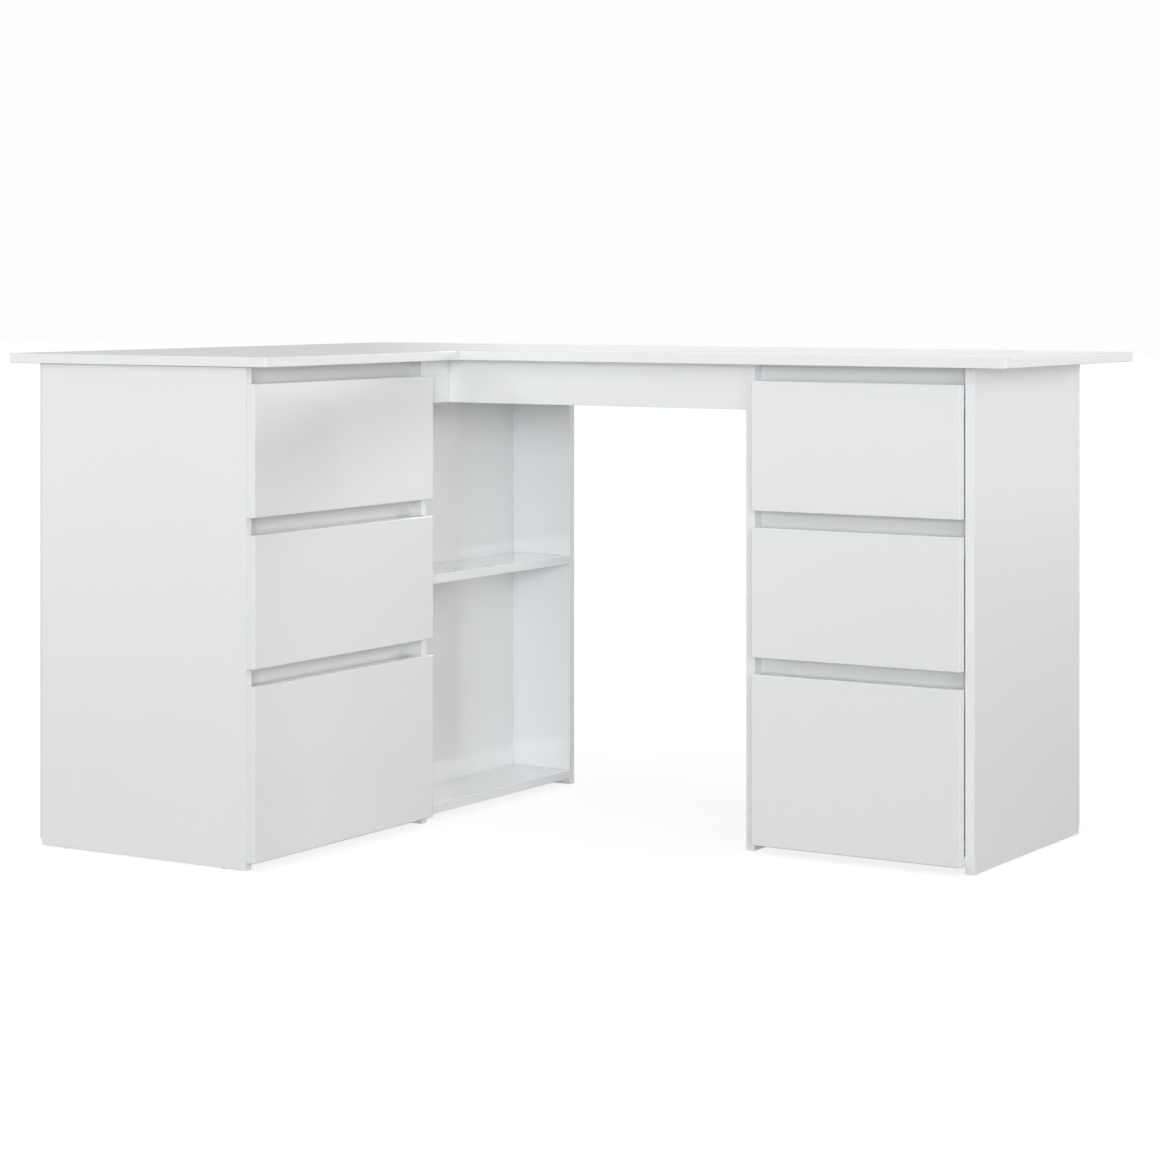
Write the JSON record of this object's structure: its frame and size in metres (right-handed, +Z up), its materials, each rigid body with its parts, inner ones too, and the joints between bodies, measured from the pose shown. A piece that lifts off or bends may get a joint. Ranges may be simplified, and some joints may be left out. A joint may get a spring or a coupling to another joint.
{
  "type": "corner desk",
  "caption": "L-shaped corner desk in gloss white board, with drawers in both pedestals, open shelves in the corner and finger gaps instead of handles.",
  "frame": {"origin": "on the floor, at the middle of the outer rectangle of 1450 mm by 1000 mm", "axes": "+X along the long side, to the right for the person at the desk; +Y towards the wall behind; +Z up"},
  "size_m": [1.45, 1, 0.76],
  "materials": {
    "gloss_white_board": "high-gloss white foil on 15 mm chipboard",
    "satin_white_board": "satin white foil on 12 mm chipboard",
    "white_hardboard": "3 mm hardboard, painted white",
    "zinc_plated_steel": "zinc-plated sheet steel"
  },
  "bodies": {
    "desk_frame": {"main_top": "gloss_white_board", "return_top": "gloss_white_board", "top_joining_plate_1": "zinc_plated_steel", "top_joining_plate_2": "zinc_plated_steel", "top_joining_plate_3": "zinc_plated_steel", "left_end_panel": "gloss_white_board", "left_partition": "gloss_white_board", "left_far_panel": "gloss_white_board", "left_pedestal_back": "white_hardboard", "left_pedestal_bottom": "gloss_white_board", "left_top_rail": "gloss_white_board", "left_middle_rail": "gloss_white_board", "left_lower_rail": "gloss_white_board", "shelf_back": "gloss_white_board", "bottom_shelf": "gloss_white_board", "middle_shelf": "gloss_white_board", "shelf_top_rail": "gloss_white_board", "right_inner_panel": "gloss_white_board", "right_outer_panel": "gloss_white_board", "right_pedestal_back": "white_hardboard", "right_pedestal_bottom": "gloss_white_board", "right_top_rail": "gloss_white_board", "right_middle_rail": "gloss_white_board", "right_lower_rail": "gloss_white_board", "apron": "gloss_white_board"},
    "left_top_drawer": {"left_top_drawer_front": "gloss_white_board", "left_top_drawer_left_side": "satin_white_board", "left_top_drawer_right_side": "satin_white_board", "left_top_drawer_back": "satin_white_board", "left_top_drawer_bottom": "white_hardboard"},
    "left_middle_drawer": {"left_middle_drawer_front": "gloss_white_board", "left_middle_drawer_left_side": "satin_white_board", "left_middle_drawer_right_side": "satin_white_board", "left_middle_drawer_back": "satin_white_board", "left_middle_drawer_bottom": "white_hardboard"},
    "left_bottom_drawer": {"left_bottom_drawer_front": "gloss_white_board", "left_bottom_drawer_left_side": "satin_white_board", "left_bottom_drawer_right_side": "satin_white_board", "left_bottom_drawer_back": "satin_white_board", "left_bottom_drawer_bottom": "white_hardboard"},
    "right_top_drawer": {"right_top_drawer_front": "gloss_white_board", "right_top_drawer_left_side": "satin_white_board", "right_top_drawer_right_side": "satin_white_board", "right_top_drawer_back": "satin_white_board", "right_top_drawer_bottom": "white_hardboard"},
    "right_middle_drawer": {"right_middle_drawer_front": "gloss_white_board", "right_middle_drawer_left_side": "satin_white_board", "right_middle_drawer_right_side": "satin_white_board", "right_middle_drawer_back": "satin_white_board", "right_middle_drawer_bottom": "white_hardboard"},
    "right_bottom_drawer": {"right_bottom_drawer_front": "gloss_white_board", "right_bottom_drawer_left_side": "satin_white_board", "right_bottom_drawer_right_side": "satin_white_board", "right_bottom_drawer_back": "satin_white_board", "right_bottom_drawer_bottom": "white_hardboard"}
  },
  "joints": [
    {"name": "left_top_drawer_slide", "type": "slide", "parent": "desk_frame", "child": "left_top_drawer", "axis": [1, 0, 0], "range_m": [0, 0.26]},
    {"name": "left_middle_drawer_slide", "type": "slide", "parent": "desk_frame", "child": "left_middle_drawer", "axis": [1, 0, 0], "range_m": [0, 0.26]},
    {"name": "left_bottom_drawer_slide", "type": "slide", "parent": "desk_frame", "child": "left_bottom_drawer", "axis": [1, 0, 0], "range_m": [0, 0.26]},
    {"name": "right_top_drawer_slide", "type": "slide", "parent": "desk_frame", "child": "right_top_drawer", "axis": [0, -1, 0], "range_m": [0, 0.26]},
    {"name": "right_middle_drawer_slide", "type": "slide", "parent": "desk_frame", "child": "right_middle_drawer", "axis": [0, -1, 0], "range_m": [0, 0.26]},
    {"name": "right_bottom_drawer_slide", "type": "slide", "parent": "desk_frame", "child": "right_bottom_drawer", "axis": [0, -1, 0], "range_m": [0, 0.26]}
  ]
}
